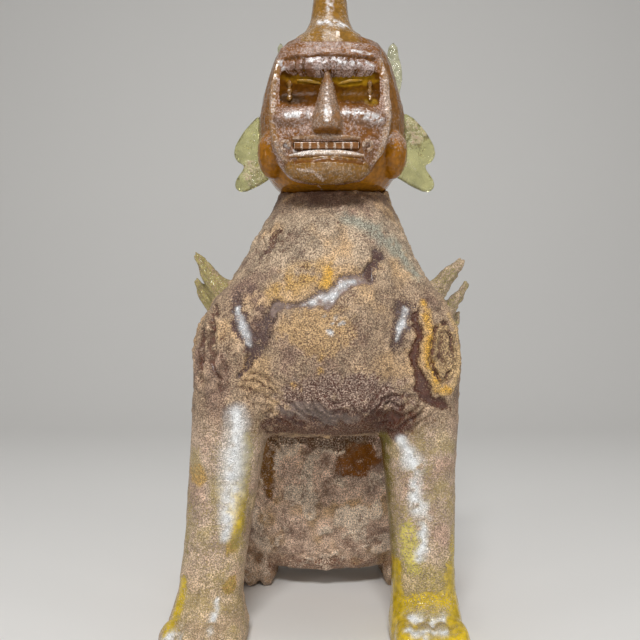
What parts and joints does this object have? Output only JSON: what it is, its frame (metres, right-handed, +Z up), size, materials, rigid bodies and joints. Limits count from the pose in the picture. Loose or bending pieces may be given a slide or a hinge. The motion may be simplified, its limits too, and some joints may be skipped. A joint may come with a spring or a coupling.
{
  "type": "glass foo dog statue",
  "caption": "Seated mythical guardian beast in crusted amber glass, with a horned mask-like head, spread ears, straight forelegs and shoulder tufts, standing on flat paws.",
  "frame": {"origin": "middle of the figure's box, on the surface that the paws stand on", "axes": "+Z up, -Y the way the beast faces, +X its own left side"},
  "size_m": [0.1313, 0.1363, 0.2949],
  "materials": {
    "crusted_glass": "dull tan and red-brown mineral crust over amber glass, with glossy bare patches",
    "amber_glass": "glossy clear amber glass with thin crust on the high places",
    "pale_glass": "glossy pale straw-coloured clear glass"
  },
  "bodies": {
    "root": {"torso": "crusted_glass", "rump": "crusted_glass", "neck": "crusted_glass", "left_front_leg": "crusted_glass", "right_front_leg": "crusted_glass", "left_front_paw": "crusted_glass", "right_front_paw": "crusted_glass", "left_haunch": "crusted_glass", "right_haunch": "crusted_glass", "left_hind_paw": "crusted_glass", "right_hind_paw": "crusted_glass", "left_tuft_upper": "crusted_glass", "left_tuft_middle": "crusted_glass", "left_tuft_lower": "crusted_glass", "right_tuft_upper": "crusted_glass", "right_tuft_lower": "crusted_glass", "left_shoulder_whorl": "crusted_glass", "right_shoulder_whorl": "crusted_glass", "tail": "crusted_glass", "head": "amber_glass", "face_plate": "amber_glass", "teeth": "amber_glass", "nose": "amber_glass", "brow_ridge": "amber_glass", "upper_lip": "amber_glass", "lower_lip": "amber_glass", "chin": "amber_glass", "left_cheek": "amber_glass", "right_cheek": "amber_glass", "horn": "amber_glass", "left_face_rim": "amber_glass", "right_face_rim": "amber_glass", "left_lip_curl": "amber_glass", "right_lip_curl": "amber_glass", "left_cheekbone": "amber_glass", "right_cheekbone": "amber_glass", "left_eyelid": "amber_glass", "right_eyelid": "amber_glass", "left_eye_beads": "amber_glass", "right_eye_beads": "amber_glass", "left_ear": "pale_glass", "right_ear": "pale_glass", "left_ear_leaf": "pale_glass", "right_ear_leaf": "pale_glass"}
  },
  "joints": []
}
